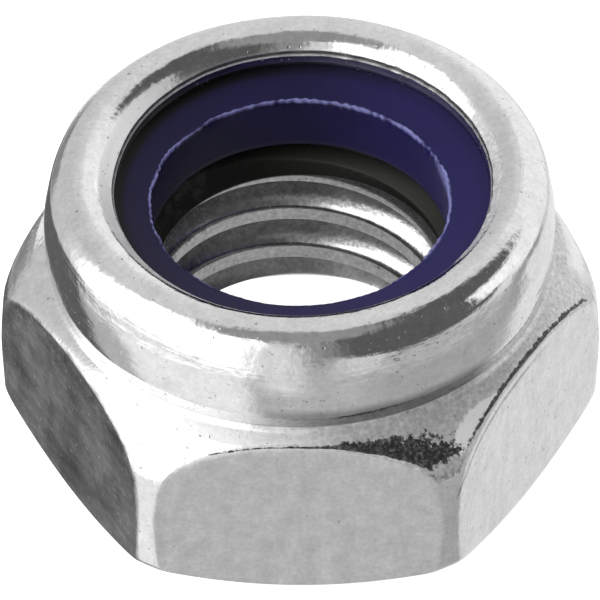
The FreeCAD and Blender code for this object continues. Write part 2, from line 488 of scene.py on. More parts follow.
def insert_rows():
    """All rows of the nylon ring, with the shares of pale burr and of painted shade under the rim at each
    point.
    """
    open_top = RIM_TOP - SHEARED_EDGE
    edge = open_top - INSERT_LIP_DROP
    loop = insert_section(open_top, edge)[:-1]
    rows = round_rows(loop, INSERT_ANGLES)
    height, lean = burr_shares(INSERT_ANGLES)
    away = np.hypot(loop[:, 0] - INSERT_BORE - BURR_MIDDLE, loop[:, 1] - edge)[:, None]
    rows[..., 1] += bell(away, BURR_RISE_WIDTH) * BURR_HEIGHT * height[None, :]
    rows[..., 0] += bell(away, BURR_LEAN_WIDTH) * BURR_REACH * lean[None, :]
    burr = bell(away, BURR_PALE_WIDTH) * height[None, :]
    frayed = FRAYED * arc_share(INSERT_ANGLES, FRAYED_TURN, FRAYED_ARC)[None, :]
    frayed = frayed * bell(away, FRAYED_WIDTH) * (loop[:, 1] < edge + FRAYED_ABOVE)[:, None]
    # Painted shade on the nylon under the rolled edge
    painted_rim_shade = smooth_share(loop[:, :1], RIM_SHADE_RADII) * np.ones_like(burr)
    return uneven(rows, INSERT_ANGLES), np.maximum(burr, frayed), painted_rim_shade


def shoulder_share(height, steepness, outside):
    """Share of the matte shoulder: where it slopes gently, more at the front right and none at the left."""
    front_right = arc_share(BODY_ANGLES, FRONT_RIGHT_TURN, FRONT_RIGHT_ARC)[None, :]
    gentle = smooth_share(steepness, SHOULDER_STEEPNESS)
    matte = np.maximum(gentle, front_right * smooth_share(steepness, FRONT_RIGHT_STEEPNESS))
    plain = smooth_share(np.cos(BODY_ANGLES), PLAIN_COSINES) * smooth_share(np.sin(BODY_ANGLES), PLAIN_SINES)
    return outside * (height > BARREL_HEIGHT) * matte * (1 - plain[None, :])


def worn_share(radius, height):
    """Share of the worn parts of the rolled edge's inner slope, at the left and at the right."""
    left = arc_share(BODY_ANGLES, WORN_LEFT_TURN, WORN_LEFT_ARC)
    right = arc_share(BODY_ANGLES, WORN_RIGHT_TURN, WORN_RIGHT_ARC)
    return (left + right)[None, :] * smooth_share(radius, WORN_RADII) * (height > WORN_FOOT)


def finish_shares(rows):
    """Shares of satin, matte, and of painted shade on the sheared face inside the rim, at each point of the
    steel.
    """
    radius = rows[..., 0]
    height = rows[..., 1]
    steepness = np.abs(np.gradient(height, axis=0))
    steepness /= np.hypot(steepness, np.gradient(radius, axis=0)) + 1e-9
    outside = smooth_share(height, OUTSIDE_HEIGHTS) * (radius > POCKET_RADIUS)
    shoulder = shoulder_share(height, steepness, outside)
    flat = outside * smooth_share(FLAT_RADIUS - radius * np.cos(FROM_FLAT)[None, :], FLAT_DEPTHS)
    from_rim = np.abs(radius - RIM_RADIUS)
    edge = (from_rim < RIM_REACH) * (height > ROOF)
    sheared = edge * smooth_share(height, SHEARED_HEIGHTS)
    lip = edge * bell(height - RIM_TOP + LIP_DROP, LIP_WIDTH)
    rolled = (height > ROOF) * smooth_share(from_rim, ROLLED_REACH)
    worn = worn_share(radius, height)
    satin = np.maximum(np.maximum(shoulder, FLAT_SATIN * flat), np.maximum(worn, ROLLED_SATIN * rolled))
    matte = np.maximum(shoulder, np.maximum(lip, worn))
    return satin, matte, np.clip(sheared - lip, 0, 1)


def set_share(piece, name, shares):
    """Store a share at each point of a piece for its material."""
    layer = piece.data.attributes.new(name, "FLOAT", "POINT")
    layer.data.foreach_set("value", np.asarray(shares, dtype=np.float32).reshape(-1))


def ring_object(name, rows, angles):
    """Closed mesh object of rows that also close on themselves."""
    count, columns = rows.shape[:2]
    x = rows[..., 0] * np.cos(angles)
    y = rows[..., 0] * np.sin(angles)
    vertices = np.stack([x, y, rows[..., 1]], axis=-1).reshape(-1, 3) * MM
    row = np.arange(count)[:, None]
    column = np.arange(columns)[None, :]
    next_row = (row + 1) % count
    next_column = (column + 1) % columns
    faces = np.stack([
        row * columns + column,
        row * columns + next_column,
        next_row * columns + next_column,
        next_row * columns + column,
    ], axis=-1).reshape(-1, 4)
    mesh = bpy.data.meshes.new(name)
    mesh.from_pydata(vertices.tolist(), [], faces.tolist())
    mesh.shade_smooth()
    mesh.update()
    piece = bpy.data.objects.new(name, mesh)
    bpy.context.scene.collection.objects.link(piece)
    return piece


def principled(name):
    """New material with its shader node."""
    material = bpy.data.materials.new(name)
    material.use_nodes = True
    return material, material.node_tree.nodes["Principled BSDF"]


def put(tree, value, socket):
    """Give a socket a fixed value, or link another socket to it."""
    if isinstance(value, (int, float, tuple)):
        socket.default_value = value
    else:
        tree.links.new(value, socket)


def math_node(tree, operation, *values):
    """Math node on numbers or sockets; gives its output."""
    node = tree.nodes.new("ShaderNodeMath")
    node.operation = operation
    for socket, value in zip(node.inputs, values):
        put(tree, value, socket)
    return node.outputs["Value"]


def product_node(tree, *values):
    """Product of several numbers or sockets."""
    total = values[0]
    for value in values[1:]:
        total = math_node(tree, "MULTIPLY", total, value)
    return total


def gain_node(tree, share, amount):
    """Factor that is 1 where a share is 0, and more by the amount where it is 1."""
    return math_node(tree, "MULTIPLY_ADD", share, amount, 1.0)


def swing_node(tree, value, amount, middle=0.0):
    """Value of 0 to 1 turned into one that swings by the amount in all, about a middle."""
    return math_node(tree, "MULTIPLY_ADD", value, amount, middle - amount / 2)


def step_node(tree, value, ends):
    """Share that goes smoothly from 0 to 1 over a range."""
    node = tree.nodes.new("ShaderNodeMapRange")
    node.interpolation_type = "SMOOTHSTEP"
    tree.links.new(value, node.inputs["Value"])
    node.inputs["From Min"].default_value = ends[0]
    node.inputs["From Max"].default_value = ends[1]
    return node.outputs["Result"]


def length_step(tree, length, ends):
    """Share that goes smoothly from 0 to 1 over a range in millimetres."""
    return step_node(tree, length, (ends[0] * MM, ends[1] * MM))


def blend_node(tree, share, first, second):
    """Mix of two numbers or sockets by a share."""
    node = tree.nodes.new("ShaderNodeMix")
    tree.links.new(share, node.inputs["Factor"])
    put(tree, first, node.inputs["A"])
    put(tree, second, node.inputs["B"])
    return node.outputs["Result"]


def colour_blend(tree, share, first, second):
    """Mix of two colours or sockets by a share."""
    node = tree.nodes.new("ShaderNodeMix")
    node.data_type = "RGBA"
    tree.links.new(share, node.inputs["Factor"])
    colour_inputs = [socket for socket in node.inputs if socket.type == "RGBA"]
    for socket, value in zip(colour_inputs, (first, second)):
        put(tree, value, socket)
    return next(socket for socket in node.outputs if socket.type == "RGBA")


def grey_node(tree, value):
    """Grey colour of a value."""
    node = tree.nodes.new("ShaderNodeCombineColor")
    for channel in ("Red", "Green", "Blue"):
        tree.links.new(value, node.inputs[channel])
    return node.outputs["Color"]


def noise_node(tree, place, scale, detail, roughness):
    """Noise of about 0 to 1 on a place; the scale is in features per millimetre."""
    node = tree.nodes.new("ShaderNodeTexNoise")
    node.inputs["Scale"].default_value = scale / MM
    node.inputs["Detail"].default_value = detail
    node.inputs["Roughness"].default_value = roughness
    tree.links.new(place, node.inputs["Vector"])
    return node.outputs["Fac"]


def attribute_node(tree, name):
    """Value of a share stored at the points of the mesh."""
    node = tree.nodes.new("ShaderNodeAttribute")
    node.attribute_name = name
    return node.outputs["Fac"]


def dot_node(tree, vector, direction):
    """Length of a vector along a fixed direction."""
    node = tree.nodes.new("ShaderNodeVectorMath")
    node.operation = "DOT_PRODUCT"
    tree.links.new(vector, node.inputs[0])
    node.inputs[1].default_value = direction
    return node.outputs["Value"]


def vector_node(tree, x, y, z):
    """Vector of three numbers or sockets."""
    node = tree.nodes.new("ShaderNodeCombineXYZ")
    for value, socket in zip((x, y, z), node.inputs):
        put(tree, value, socket)
    return node.outputs["Vector"]


def split_node(tree, vector):
    """The three parts of a vector."""
    node = tree.nodes.new("ShaderNodeSeparateXYZ")
    tree.links.new(vector, node.inputs["Vector"])
    return node.outputs["X"], node.outputs["Y"], node.outputs["Z"]


def bump_node(tree, height, distance, below=None):
    """Bump by a height of 0 to 1 that stands for a distance in millimetres, over another bump if given."""
    node = tree.nodes.new("ShaderNodeBump")
    node.inputs["Distance"].default_value = distance * MM
    tree.links.new(height, node.inputs["Height"])
    if below is not None:
        tree.links.new(below, node.inputs["Normal"])
    return node.outputs["Normal"]


# Noises of the plating: features per millimetre, detail, roughness
GRAIN = (14, 3, 0.5)
MOTTLE = (3.5, 6, 0.65)
DENTS = (1.3, 2, 0.5)
BLOBS = (4.5, 2, 0.5)
PITS = (9, 1, 0.3)
CRUMBS = (11, 5, 0.75)
FLECKS = (16, 3, 0.7)
ROLLING_MARKS = (4, 3, 0.6)
STREAKS = (3.5, 5, 0.7)
SCRAPES = (2.0, 6, 0.72)
SCRAPE_GROUPS = (0.8, 3, 0.6)
SCUFF_PATH = (2.5, 3, 0.5)
SMUDGES = (2.2, 5, 0.7)
CHIPS = (6, 4, 0.75)

# Zones of the plating
HOLE_MARGIN = 0.02
SEAT_MARGIN = 0.01
# The hole above these heights, the exit countersink under the insert, is painted near-black as shade
LEAVING_HEIGHTS = (SEAT - EXIT_DEPTH - 0.02, SEAT - EXIT_DEPTH + 0.02)
COLLAR_HEIGHTS = (NECK_HEIGHT, FOOT_TOP)
CROWN_HEIGHTS = (TOP - 1.0, TOP - 0.5)
LEFT_HALF = (1.0, -1.0)
PIT_LEVELS = (0.76, 0.80)
MATTE_TEARING = 0.9
MATTE_LEVELS = (0.35, 0.65)

# Brightness of the plating
STEEL_LEVEL = 0.76
STEEL_VARIATION = 0.34
PIT_DARKNESS = 0.25
SPECKLE = 0.22
COARSE_SPECKLE = 0.9
# Painted light: matte metal on the left half, toward the soft box, is painted paler
LEFT_PAINTED_LIGHT = 0.38
# Painted shade: the threaded hole's colour is darker, as the hole lies in shade
HOLE_PAINTED_SHADE = 0.36
# Painted highlight: up-facing thread flanks at the right are painted lighter
THREAD_PAINTED_HIGHLIGHT = 0.28
HIGHLIGHT_UPWARD = (0.35, 0.6)
HIGHLIGHT_X = (0.1, 0.9)
SCUFF = 0.50

# Painted shade low on the collar, at the front, where it meets the shoulder
COLLAR_PAINTED_SHADE = 0.50
CREASE_SHADE_FOOT = (NECK_HEIGHT + 0.02, NECK_HEIGHT + 0.07)
CREASE_SHADE_TOP = (NECK_HEIGHT + 0.50, NECK_HEIGHT + 0.32)
CREASE_SHADE_LEFT = (-1.2, 0.4)
CREASE_SHADE_RIGHT = (3.0, 2.5)
CREASE_SHADE_Y = (-1.5, -2.0)

# Streaks on the flats, stretched upright, and scrapes along the left flat
STREAK_STRETCH = 0.4
SCRAPE_DIRECTION = (0.5, -0.87, 0)
SCRAPE_STRETCH = 0.16
SCRAPE_BALANCE = 0.97
SCRAPE_STRENGTH = 5.0
LEFT_FLAT_X = (-1.8, -3.0)
LEFT_FLAT_Y = (0.3, -0.3)

# Chipped metal at the left end of the thread that is seen
CHIPPED = (0.30, 0.30, 0.285, 1)
CHIPPED_X = (-1.20, -1.55)
CHIPPED_Y = (0.4, 0.8)
CHIPPED_Z = (2.10, 2.25)
CHIP_LEVELS = (0.48, 0.62)

# Colours and finishes
# Pale white of the painted highlight along the right flat's top edge
PAINTED_HIGHLIGHT_WHITE = (0.98, 0.98, 0.98, 1)
# Near-black of the painted shade on the sheared face and in the exit countersink
PAINTED_SHADE_STEEL = (0.050, 0.049, 0.044, 1)
PAINTED_SHADE_ROUGHNESS = 0.5
GRIME_DARKEST = 0.022
GRIME_VARIATION = 0.20
FLECK_LEVELS = (0.42, 0.75)
MATTE_METALLIC = 0.50
SMOOTH_ROUGHNESS = 0.10
SMOOTH_VARIATION = 0.10
SATIN_ROUGHNESS = 0.42
SATIN_VARIATION = 0.20
HOLE_ROUGHNESS = 0.13

# Heights of the plating's bumps
GRAIN_HEIGHT = 0.0032
COLLAR_SMOOTHNESS = 0.5
DENT_HEIGHT = 0.010
BLOB_HEIGHT = 0.007
ROLLED_HEIGHT = 0.008
ROLLED_STRETCH = 0.35

# Grime along the front flat's top edge, sparse at the left and thick at the right
MARK_UPWARD = (0.35, 0.5)
MARK_TEARING = 3.2
GRIME_START = (-1.8, -1.2)
GRIME_THICKENING = (0.1, 0.5)
GRIME_WIDENING = (0.1, 2.5)
GRIME_END = (2.65, 2.4)
GRIME_THINNEST = 0.03
GRIME_SPREAD = 0.46
GRIME_CLOSENESS = (1.3, 0.3)
GRIME_SPARSENESS = 0.80
GRIME_STRENGTH = 1.15
GRIME_LEVELS = (0.42, 0.60)

# Thin grime and a painted highlight, pale white, along the right flat's top edge
RIGHT_FLAT = 330
RIGHT_START = (-2.5, -2.3)
RIGHT_LINE = (0.09, 0.02)
PALE_OPENING = (-2.4, -1.8)
PALE_CLOSING = (-0.7, -1.6)
PALE_THINNEST = 0.03
PALE_SPREAD = 0.20
PALE_CLOSENESS = (1.2, 0.8)
PALE_LEVELS = (0.45, 0.50)

# Scuffed marks under the curved top edges of the right and left flats
LEFT_FLAT = 210
ON_FLAT = (0.03, 0.01)
EDGE_HEIGHT = 2.99
EDGE_FALL = 0.07
EDGE_BEND = 0.028
SCUFF_WANDER = 0.16
SCUFF_FADING = (1.0, -0.6)
SCUFF_UPPER = (0.09, 0.14)
SCUFF_LOWER = (0.22, 0.16)
SCUFF_CRUMBS = 3.0
SCUFF_GAPS = -0.60
SMUDGE_DROPS = (0.55, 0.05)
SMUDGE_LEVELS = (0.42, 0.62)


def flat_place(tree, place, turn):
    """Depth under a flat's plane and distance along it, by the turn of its outward side in degrees."""
    outward = (math.cos(math.radians(turn)), math.sin(math.radians(turn)), 0)
    depth = math_node(tree, "MULTIPLY_ADD", dot_node(tree, place, outward), -1.0, FLAT_RADIUS * MM)
    return depth, dot_node(tree, place, (-outward[1], outward[0], 0))


def front_grime(tree, at):
    """Share of the grime along the front flat's top edge, before it is torn."""
    depth = math_node(tree, "ADD", at.y, FLAT_RADIUS * MM)
    widening = length_step(tree, at.x, GRIME_WIDENING)
    width = math_node(tree, "MULTIPLY_ADD", widening, GRIME_SPREAD * MM, GRIME_THINNEST * MM)
    close = step_node(tree, math_node(tree, "DIVIDE", depth, width), GRIME_CLOSENESS)
    thick = length_step(tree, at.x, GRIME_THICKENING)
    sparse = math_node(tree, "MULTIPLY", length_step(tree, at.x, GRIME_START), GRIME_SPARSENESS)
    either = math_node(tree, "MAXIMUM", thick, sparse)
    return product_node(tree, close, either, length_step(tree, at.x, GRIME_END), GRIME_STRENGTH)


def edge_marks(tree, at):
    """Shares of dark grime along the top edges of the front and right flats, and of a painted highlight on
    the right one's.
    """
    torn = swing_node(tree, at.crumbs, MARK_TEARING)
    facing_up = step_node(tree, at.upward, MARK_UPWARD)
    depth, along = flat_place(tree, at.place, RIGHT_FLAT)
    on_right = length_step(tree, along, RIGHT_START)
    line = product_node(tree, length_step(tree, depth, RIGHT_LINE), on_right)
    grime = product_node(tree, math_node(tree, "MAXIMUM", front_grime(tree, at), line), facing_up)
    grime = step_node(tree, math_node(tree, "ADD", grime, torn), GRIME_LEVELS)

    # Painted highlight: a pale patch along the right flat's top edge
    opening = length_step(tree, along, PALE_OPENING)
    open_part = product_node(tree, opening, length_step(tree, along, PALE_CLOSING))
    reach = math_node(tree, "MULTIPLY_ADD", open_part, PALE_SPREAD * MM, PALE_THINNEST * MM)
    inside = step_node(tree, math_node(tree, "DIVIDE", depth, reach), PALE_CLOSENESS)
    pale = product_node(tree, inside, facing_up, on_right)
    return grime, step_node(tree, math_node(tree, "ADD", pale, torn), PALE_LEVELS)


def below_edge(tree, at, along):
    """Distance below a flat's curved top edge, in millimetres."""
    reach = math_node(tree, "DIVIDE", along, MM)
    square = math_node(tree, "MULTIPLY", reach, reach)
    slope = math_node(tree, "MULTIPLY_ADD", square, -EDGE_BEND, -EDGE_FALL)
    edge = math_node(tree, "MULTIPLY_ADD", square, slope, EDGE_HEIGHT)
    return math_node(tree, "SUBTRACT", edge, math_node(tree, "DIVIDE", at.z, MM))


def scuffs(tree, at):
    """Share of the scuffs: a thin line under the right flat's top edge, smudges under the left one's."""
    depth, along = flat_place(tree, at.place, RIGHT_FLAT)
    wander = swing_node(tree, noise_node(tree, at.place, *SCUFF_PATH), SCUFF_WANDER)
    drop = math_node(tree, "ADD", below_edge(tree, at, along), wander)
    line = product_node(
        tree,
        step_node(tree, drop, SCUFF_UPPER),
        step_node(tree, drop, SCUFF_LOWER),
        length_step(tree, depth, ON_FLAT),
        length_step(tree, along, SCUFF_FADING),
        math_node(tree, "MULTIPLY_ADD", at.crumbs, SCUFF_CRUMBS, SCUFF_GAPS),
    )
    depth, along = flat_place(tree, at.place, LEFT_FLAT)
    smudge = product_node(
        tree,
        step_node(tree, below_edge(tree, at, along), SMUDGE_DROPS),
        length_step(tree, depth, ON_FLAT),
        step_node(tree, noise_node(tree, at.place, *SMUDGES), SMUDGE_LEVELS),
    )
    return math_node(tree, "MAXIMUM", line, smudge)


def crease_shade(tree, at):
    """Share of the painted shade low on the collar, where it meets the shoulder."""
    return product_node(
        tree,
        length_step(tree, at.z, CREASE_SHADE_FOOT),
        length_step(tree, at.z, CREASE_SHADE_TOP),
        length_step(tree, at.x, CREASE_SHADE_LEFT),
        length_step(tree, at.x, CREASE_SHADE_RIGHT),
        length_step(tree, at.y, CREASE_SHADE_Y),
    )


def chips(tree, at):
    """Share of the chipped metal at the thread's left end."""
    return product_node(
        tree,
        at.hole,
        length_step(tree, at.x, CHIPPED_X),
        length_step(tree, at.y, CHIPPED_Y),
        length_step(tree, at.z, CHIPPED_Z),
        step_node(tree, noise_node(tree, at.place, *CHIPS), CHIP_LEVELS),
    )


def streaks(tree, at):
    """Lighter and darker streaks on the satin flats, about 0."""
    upright = vector_node(tree, at.x, at.y, math_node(tree, "MULTIPLY", at.z, STREAK_STRETCH))
    upright_streaks = math_node(tree, "SUBTRACT", noise_node(tree, upright, *STREAKS), 0.5)
    along = math_node(tree, "MULTIPLY", dot_node(tree, at.place, SCRAPE_DIRECTION), SCRAPE_STRETCH)
    level = noise_node(tree, vector_node(tree, along, 0.0, at.z), *SCRAPES)
    scraped = math_node(tree, "ADD", level, noise_node(tree, at.place, *SCRAPE_GROUPS))
    scraped = math_node(tree, "SUBTRACT", scraped, SCRAPE_BALANCE)
    left_side = length_step(tree, at.x, LEFT_FLAT_X)
    on_left_flat = product_node(tree, left_side, length_step(tree, at.y, LEFT_FLAT_Y))
    scraped = product_node(tree, scraped, on_left_flat, SCRAPE_STRENGTH)
    on_flats = math_node(tree, "MULTIPLY", at.satin, math_node(tree, "SUBTRACT", 1.0, at.coarse))
    return product_node(tree, math_node(tree, "ADD", upright_streaks, scraped), on_flats)


def speckle_gain(tree, at, on_left):
    """Factor of the grain's speckle, which is coarse in the hole and on the matte metal at the right."""
    speckle = math_node(tree, "MULTIPLY_ADD", at.coarse, COARSE_SPECKLE - SPECKLE, SPECKLE)
    speckle = math_node(tree, "MULTIPLY_ADD", on_left, SPECKLE - COARSE_SPECKLE, speckle)
    return gain_node(tree, math_node(tree, "SUBTRACT", at.grain, 0.5), speckle)


def steel_level(tree, at):
    """Brightness of the plating under its grime, painted highlight and chips, with painted shade and light in
    it.
    """
    mottled = swing_node(tree, at.mottle, STEEL_VARIATION, STEEL_LEVEL)
    # Painted light on the matte metal of the left half
    on_left = product_node(tree, at.matte, length_step(tree, at.x, LEFT_HALF))
    # Painted highlight on the up-facing thread flanks at the right
    facing_up = step_node(tree, at.upward, HIGHLIGHT_UPWARD)
    thread_highlight = product_node(tree, at.hole, facing_up, length_step(tree, at.x, HIGHLIGHT_X))
    # Painted shade in the hole, except where the painted highlight is
    painted_hole_shade = math_node(tree, "SUBTRACT", at.hole, thread_highlight)
    return product_node(
        tree,
        math_node(tree, "MULTIPLY_ADD", at.pits, -PIT_DARKNESS, mottled),
        gain_node(tree, painted_hole_shade, -HOLE_PAINTED_SHADE),
        gain_node(tree, thread_highlight, THREAD_PAINTED_HIGHLIGHT),
        gain_node(tree, crease_shade(tree, at), -COLLAR_PAINTED_SHADE),
        gain_node(tree, on_left, LEFT_PAINTED_LIGHT),
        speckle_gain(tree, at, on_left),
        gain_node(tree, streaks(tree, at), 1.0),
        gain_node(tree, scuffs(tree, at), -SCUFF),
    )


def steel_bumps(tree, at):
    """Normal of the plating: rolling marks round the collar, dents, blobs on its crown, grain and pits."""
    around = math_node(tree, "MULTIPLY", at.turn, ROLLED_STRETCH * MM)
    marks = noise_node(tree, vector_node(tree, at.radius, around, at.z), *ROLLING_MARKS)
    crown = length_step(tree, at.z, CROWN_HEIGHTS)
    blobs = math_node(tree, "MULTIPLY", noise_node(tree, at.place, *BLOBS), crown)
    grain = math_node(tree, "MULTIPLY", at.grain, gain_node(tree, at.collar, -COLLAR_SMOOTHNESS))
    normal = bump_node(tree, math_node(tree, "MULTIPLY", marks, at.collar), ROLLED_HEIGHT)
    normal = bump_node(tree, noise_node(tree, at.place, *DENTS), DENT_HEIGHT, normal)
    normal = bump_node(tree, blobs, BLOB_HEIGHT, normal)
    return bump_node(tree, math_node(tree, "SUBTRACT", grain, at.pits), GRAIN_HEIGHT, normal)


def steel_spot(tree):
    """What several parts of the plating's material need: the place, its zones, its finish and its noises."""
    coordinates = tree.nodes.new("ShaderNodeTexCoord")
    at = SimpleNamespace(place=coordinates.outputs["Object"])
    at.upward = dot_node(tree, coordinates.outputs["Normal"], (0, 0, 1))
    at.x, at.y, at.z = split_node(tree, at.place)
    squares = [math_node(tree, "MULTIPLY", part, part) for part in (at.x, at.y)]
    at.radius = math_node(tree, "SQRT", math_node(tree, "ADD", *squares))
    at.turn = math_node(tree, "ARCTAN2", at.y, at.x)
    in_hole = math_node(tree, "LESS_THAN", at.radius, (ENTRY_RADIUS + HOLE_MARGIN) * MM)
    below_seat = math_node(tree, "LESS_THAN", at.z, (SEAT + SEAT_MARGIN) * MM)
    at.hole = math_node(tree, "MULTIPLY", in_hole, below_seat)
    at.collar = length_step(tree, at.z, COLLAR_HEIGHTS)
    at.grain = noise_node(tree, at.place, *GRAIN)
    at.mottle = noise_node(tree, at.place, *MOTTLE)
    at.crumbs = noise_node(tree, at.place, *CRUMBS)
    at.pits = step_node(tree, noise_node(tree, at.place, *PITS), PIT_LEVELS)
    at.satin = attribute_node(tree, "satin")
    torn = math_node(tree, "ADD", attribute_node(tree, "matte"), swing_node(tree, at.grain, MATTE_TEARING))
    at.matte = step_node(tree, torn, MATTE_LEVELS)
    at.coarse = math_node(tree, "MAXIMUM", at.hole, at.matte)
    return at


def plated_steel():
    """Bright zinc plating: mottled, satin flats, matte shoulder, painted shade on the sheared face and exit
    countersink.
    """
    material, shader = principled("plated_steel")
    tree = material.node_tree
    at = steel_spot(tree)
    grime, edge_highlight = edge_marks(tree, at)
    chipped = chips(tree, at)
    # Painted shade: the exit countersink under the insert is painted near-black, like the sheared face
    leaving = math_node(tree, "MULTIPLY", at.hole, length_step(tree, at.z, LEAVING_HEIGHTS))
    bare = math_node(tree, "MAXIMUM", attribute_node(tree, "bare"), leaving)

    flecks = step_node(tree, noise_node(tree, at.place, *FLECKS), FLECK_LEVELS)
    grime_level = math_node(tree, "MULTIPLY_ADD", flecks, GRIME_VARIATION, GRIME_DARKEST)
    # The painted highlight is mixed in as a pale white colour
    colour = colour_blend(tree, edge_highlight, grey_node(tree, steel_level(tree, at)), PAINTED_HIGHLIGHT_WHITE)
    colour = colour_blend(tree, grime, colour, grey_node(tree, grime_level))
    colour = colour_blend(tree, chipped, colour, CHIPPED)
    colour = colour_blend(tree, bare, colour, PAINTED_SHADE_STEEL)
    tree.links.new(colour, shader.inputs["Base Color"])

    metal = gain_node(tree, at.matte, MATTE_METALLIC - 1)
    marked = math_node(tree, "MAXIMUM", chipped, math_node(tree, "MAXIMUM", grime, edge_highlight))
    tree.links.new(blend_node(tree, marked, metal, 0.0), shader.inputs["Metallic"])

    smooth = swing_node(tree, at.mottle, SMOOTH_VARIATION, SMOOTH_ROUGHNESS)
    smooth = math_node(tree, "MULTIPLY_ADD", at.hole, HOLE_ROUGHNESS, smooth)
    rough = swing_node(tree, at.mottle, SATIN_VARIATION, SATIN_ROUGHNESS)
    roughness = blend_node(tree, at.satin, smooth, rough)
    tree.links.new(blend_node(tree, bare, roughness, PAINTED_SHADE_ROUGHNESS), shader.inputs["Roughness"])
    tree.links.new(steel_bumps(tree, at), shader.inputs["Normal"])
    return material


# Nylon
NYLON = (0.011, 0.008, 0.046, 1)
# Lit colour of the painted light toward the right
NYLON_PAINTED_LIT = (0.020, 0.015, 0.110, 1)
# Painted shade under the rolled edge
NYLON_PAINTED_SHADE = (0.003, 0.003, 0.003, 1)
NYLON_BURR = (0.30, 0.30, 0.66, 1)
NYLON_CLOUDS = (0.5, 3, 0.5)
CLOUD_BALANCE = 0.35
NYLON_THREADS = (9, 4, 0.7)
THREADS_HEIGHT = 0.002
# Painted light: the nylon is lighter toward the right
TO_RIGHT = (-1.5, 2.5)
RIGHT_PAINTED_LIGHT = 0.7
# Less painted shade under the rim at the right
RIGHT_LESS_SHADE = 0.8
BURR_THREADS = 0.9
BURR_BASE = 0.5
BURR_LEVELS = (0.14, 0.75)
NYLON_ROUGHNESS = 0.34
NYLON_ROUGHENING = 0.15
NYLON_SPECULAR = 0.16


def blue_nylon():
    """Dark blue nylon, cloudy: painted light to the right, painted shade under the rolled edge, paler at the
    bore's torn edge.
    """
    material, shader = principled("blue_nylon")
    tree = material.node_tree
    place = tree.nodes.new("ShaderNodeTexCoord").outputs["Object"]
    to_right = length_step(tree, split_node(tree, place)[0], TO_RIGHT)
    cloud = math_node(tree, "SUBTRACT", noise_node(tree, place, *NYLON_CLOUDS), CLOUD_BALANCE)
    threads = noise_node(tree, place, *NYLON_THREADS)
    # Painted light toward the right, mixed with random clouds
    light = step_node(tree, math_node(tree, "MULTIPLY_ADD", to_right, RIGHT_PAINTED_LIGHT, cloud), (0, 1))
    # Painted shade under the rolled edge, weaker at the right
    rim_shade = math_node(tree, "MULTIPLY", attribute_node(tree, "rim"), gain_node(tree, to_right, -RIGHT_LESS_SHADE))
    fibres = math_node(tree, "MULTIPLY_ADD", threads, BURR_THREADS, BURR_BASE)
    torn = step_node(tree, math_node(tree, "MULTIPLY", attribute_node(tree, "burr"), fibres), BURR_LEVELS)
    colour = colour_blend(tree, light, NYLON, NYLON_PAINTED_LIT)
    colour = colour_blend(tree, rim_shade, colour, NYLON_PAINTED_SHADE)
    tree.links.new(colour_blend(tree, torn, colour, NYLON_BURR), shader.inputs["Base Color"])
    roughness = math_node(tree, "MULTIPLY_ADD", threads, NYLON_ROUGHENING, NYLON_ROUGHNESS)
    tree.links.new(roughness, shader.inputs["Roughness"])
    shader.inputs["Specular IOR Level"].default_value = NYLON_SPECULAR
    tree.links.new(bump_node(tree, threads, THREADS_HEIGHT), shader.inputs["Normal"])
    return material


# Floor
FLOOR_SIZE = 2000
FLOOR_COLOUR = (0.9, 0.9, 0.9, 1)
FLOOR_WHITE = 0.72
HOLE_WHITE = 1.0
HOLE_REFLECTION = 0.42
DISC_RADIUS = 3.6
DISC_CORNERS = 64
DISC_LIFT = 0.0005


def pale_floor(piece, name, seen, reflected):
    """Stage a piece of floor in its pale material, glowing by so much to the camera and to reflections."""
    piece.name = name
    material, shader = principled(name)
    shader.inputs["Base Color"].default_value = FLOOR_COLOUR
    shader.inputs["Roughness"].default_value = 1
    shader.inputs["Specular IOR Level"].default_value = 0
    shader.inputs["Emission Color"].default_value = (1, 1, 1, 1)
    tree = material.node_tree
    path = tree.nodes.new("ShaderNodeLightPath")
    glow = math_node(tree, "MULTIPLY", path.outputs["Is Camera Ray"], seen)
    glow = math_node(tree, "MULTIPLY_ADD", path.outputs["Is Glossy Ray"], reflected, glow)
    tree.links.new(glow, shader.inputs["Emission Strength"])
    piece.data.materials.append(material)


def floor():
    """Pale floor under the nut: white to the camera, with a soft shadow round the nut."""
    bpy.ops.mesh.primitive_plane_add(size=FLOOR_SIZE * MM)
    plane = bpy.context.object
    plane.visible_glossy = False
    pale_floor(plane, "floor", FLOOR_WHITE, 0.0)


def floor_in_hole():
    """The floor under the nut: white through the hole, and shaded as the metal in there reflects it."""
    bpy.ops.mesh.primitive_circle_add(vertices=DISC_CORNERS, radius=DISC_RADIUS * MM, fill_type="NGON")
    disc = bpy.context.object
    disc.location.z = DISC_LIFT * MM
    pale_floor(disc, "floor_in_hole", HOLE_WHITE, HOLE_REFLECTION)


# Surroundings that the metal reflects, in degrees: azimuth 0 is +Y, 90 is +X; the camera stands at 180
CEILING_LEVEL = 0.78
FLOOR_LEVEL = 0.54
HORIZON = (-23, -31)
# Azimuth, elevation, radius, soft edge, level
DARK_WALL = (126, 26, 49, 5, 0.12)
DISCS = {
    "dark_back_right": (84, 56, 24, 5, 0.12),
    "dark_overhead": (-165, 79, 22, 5, 0.34),
}
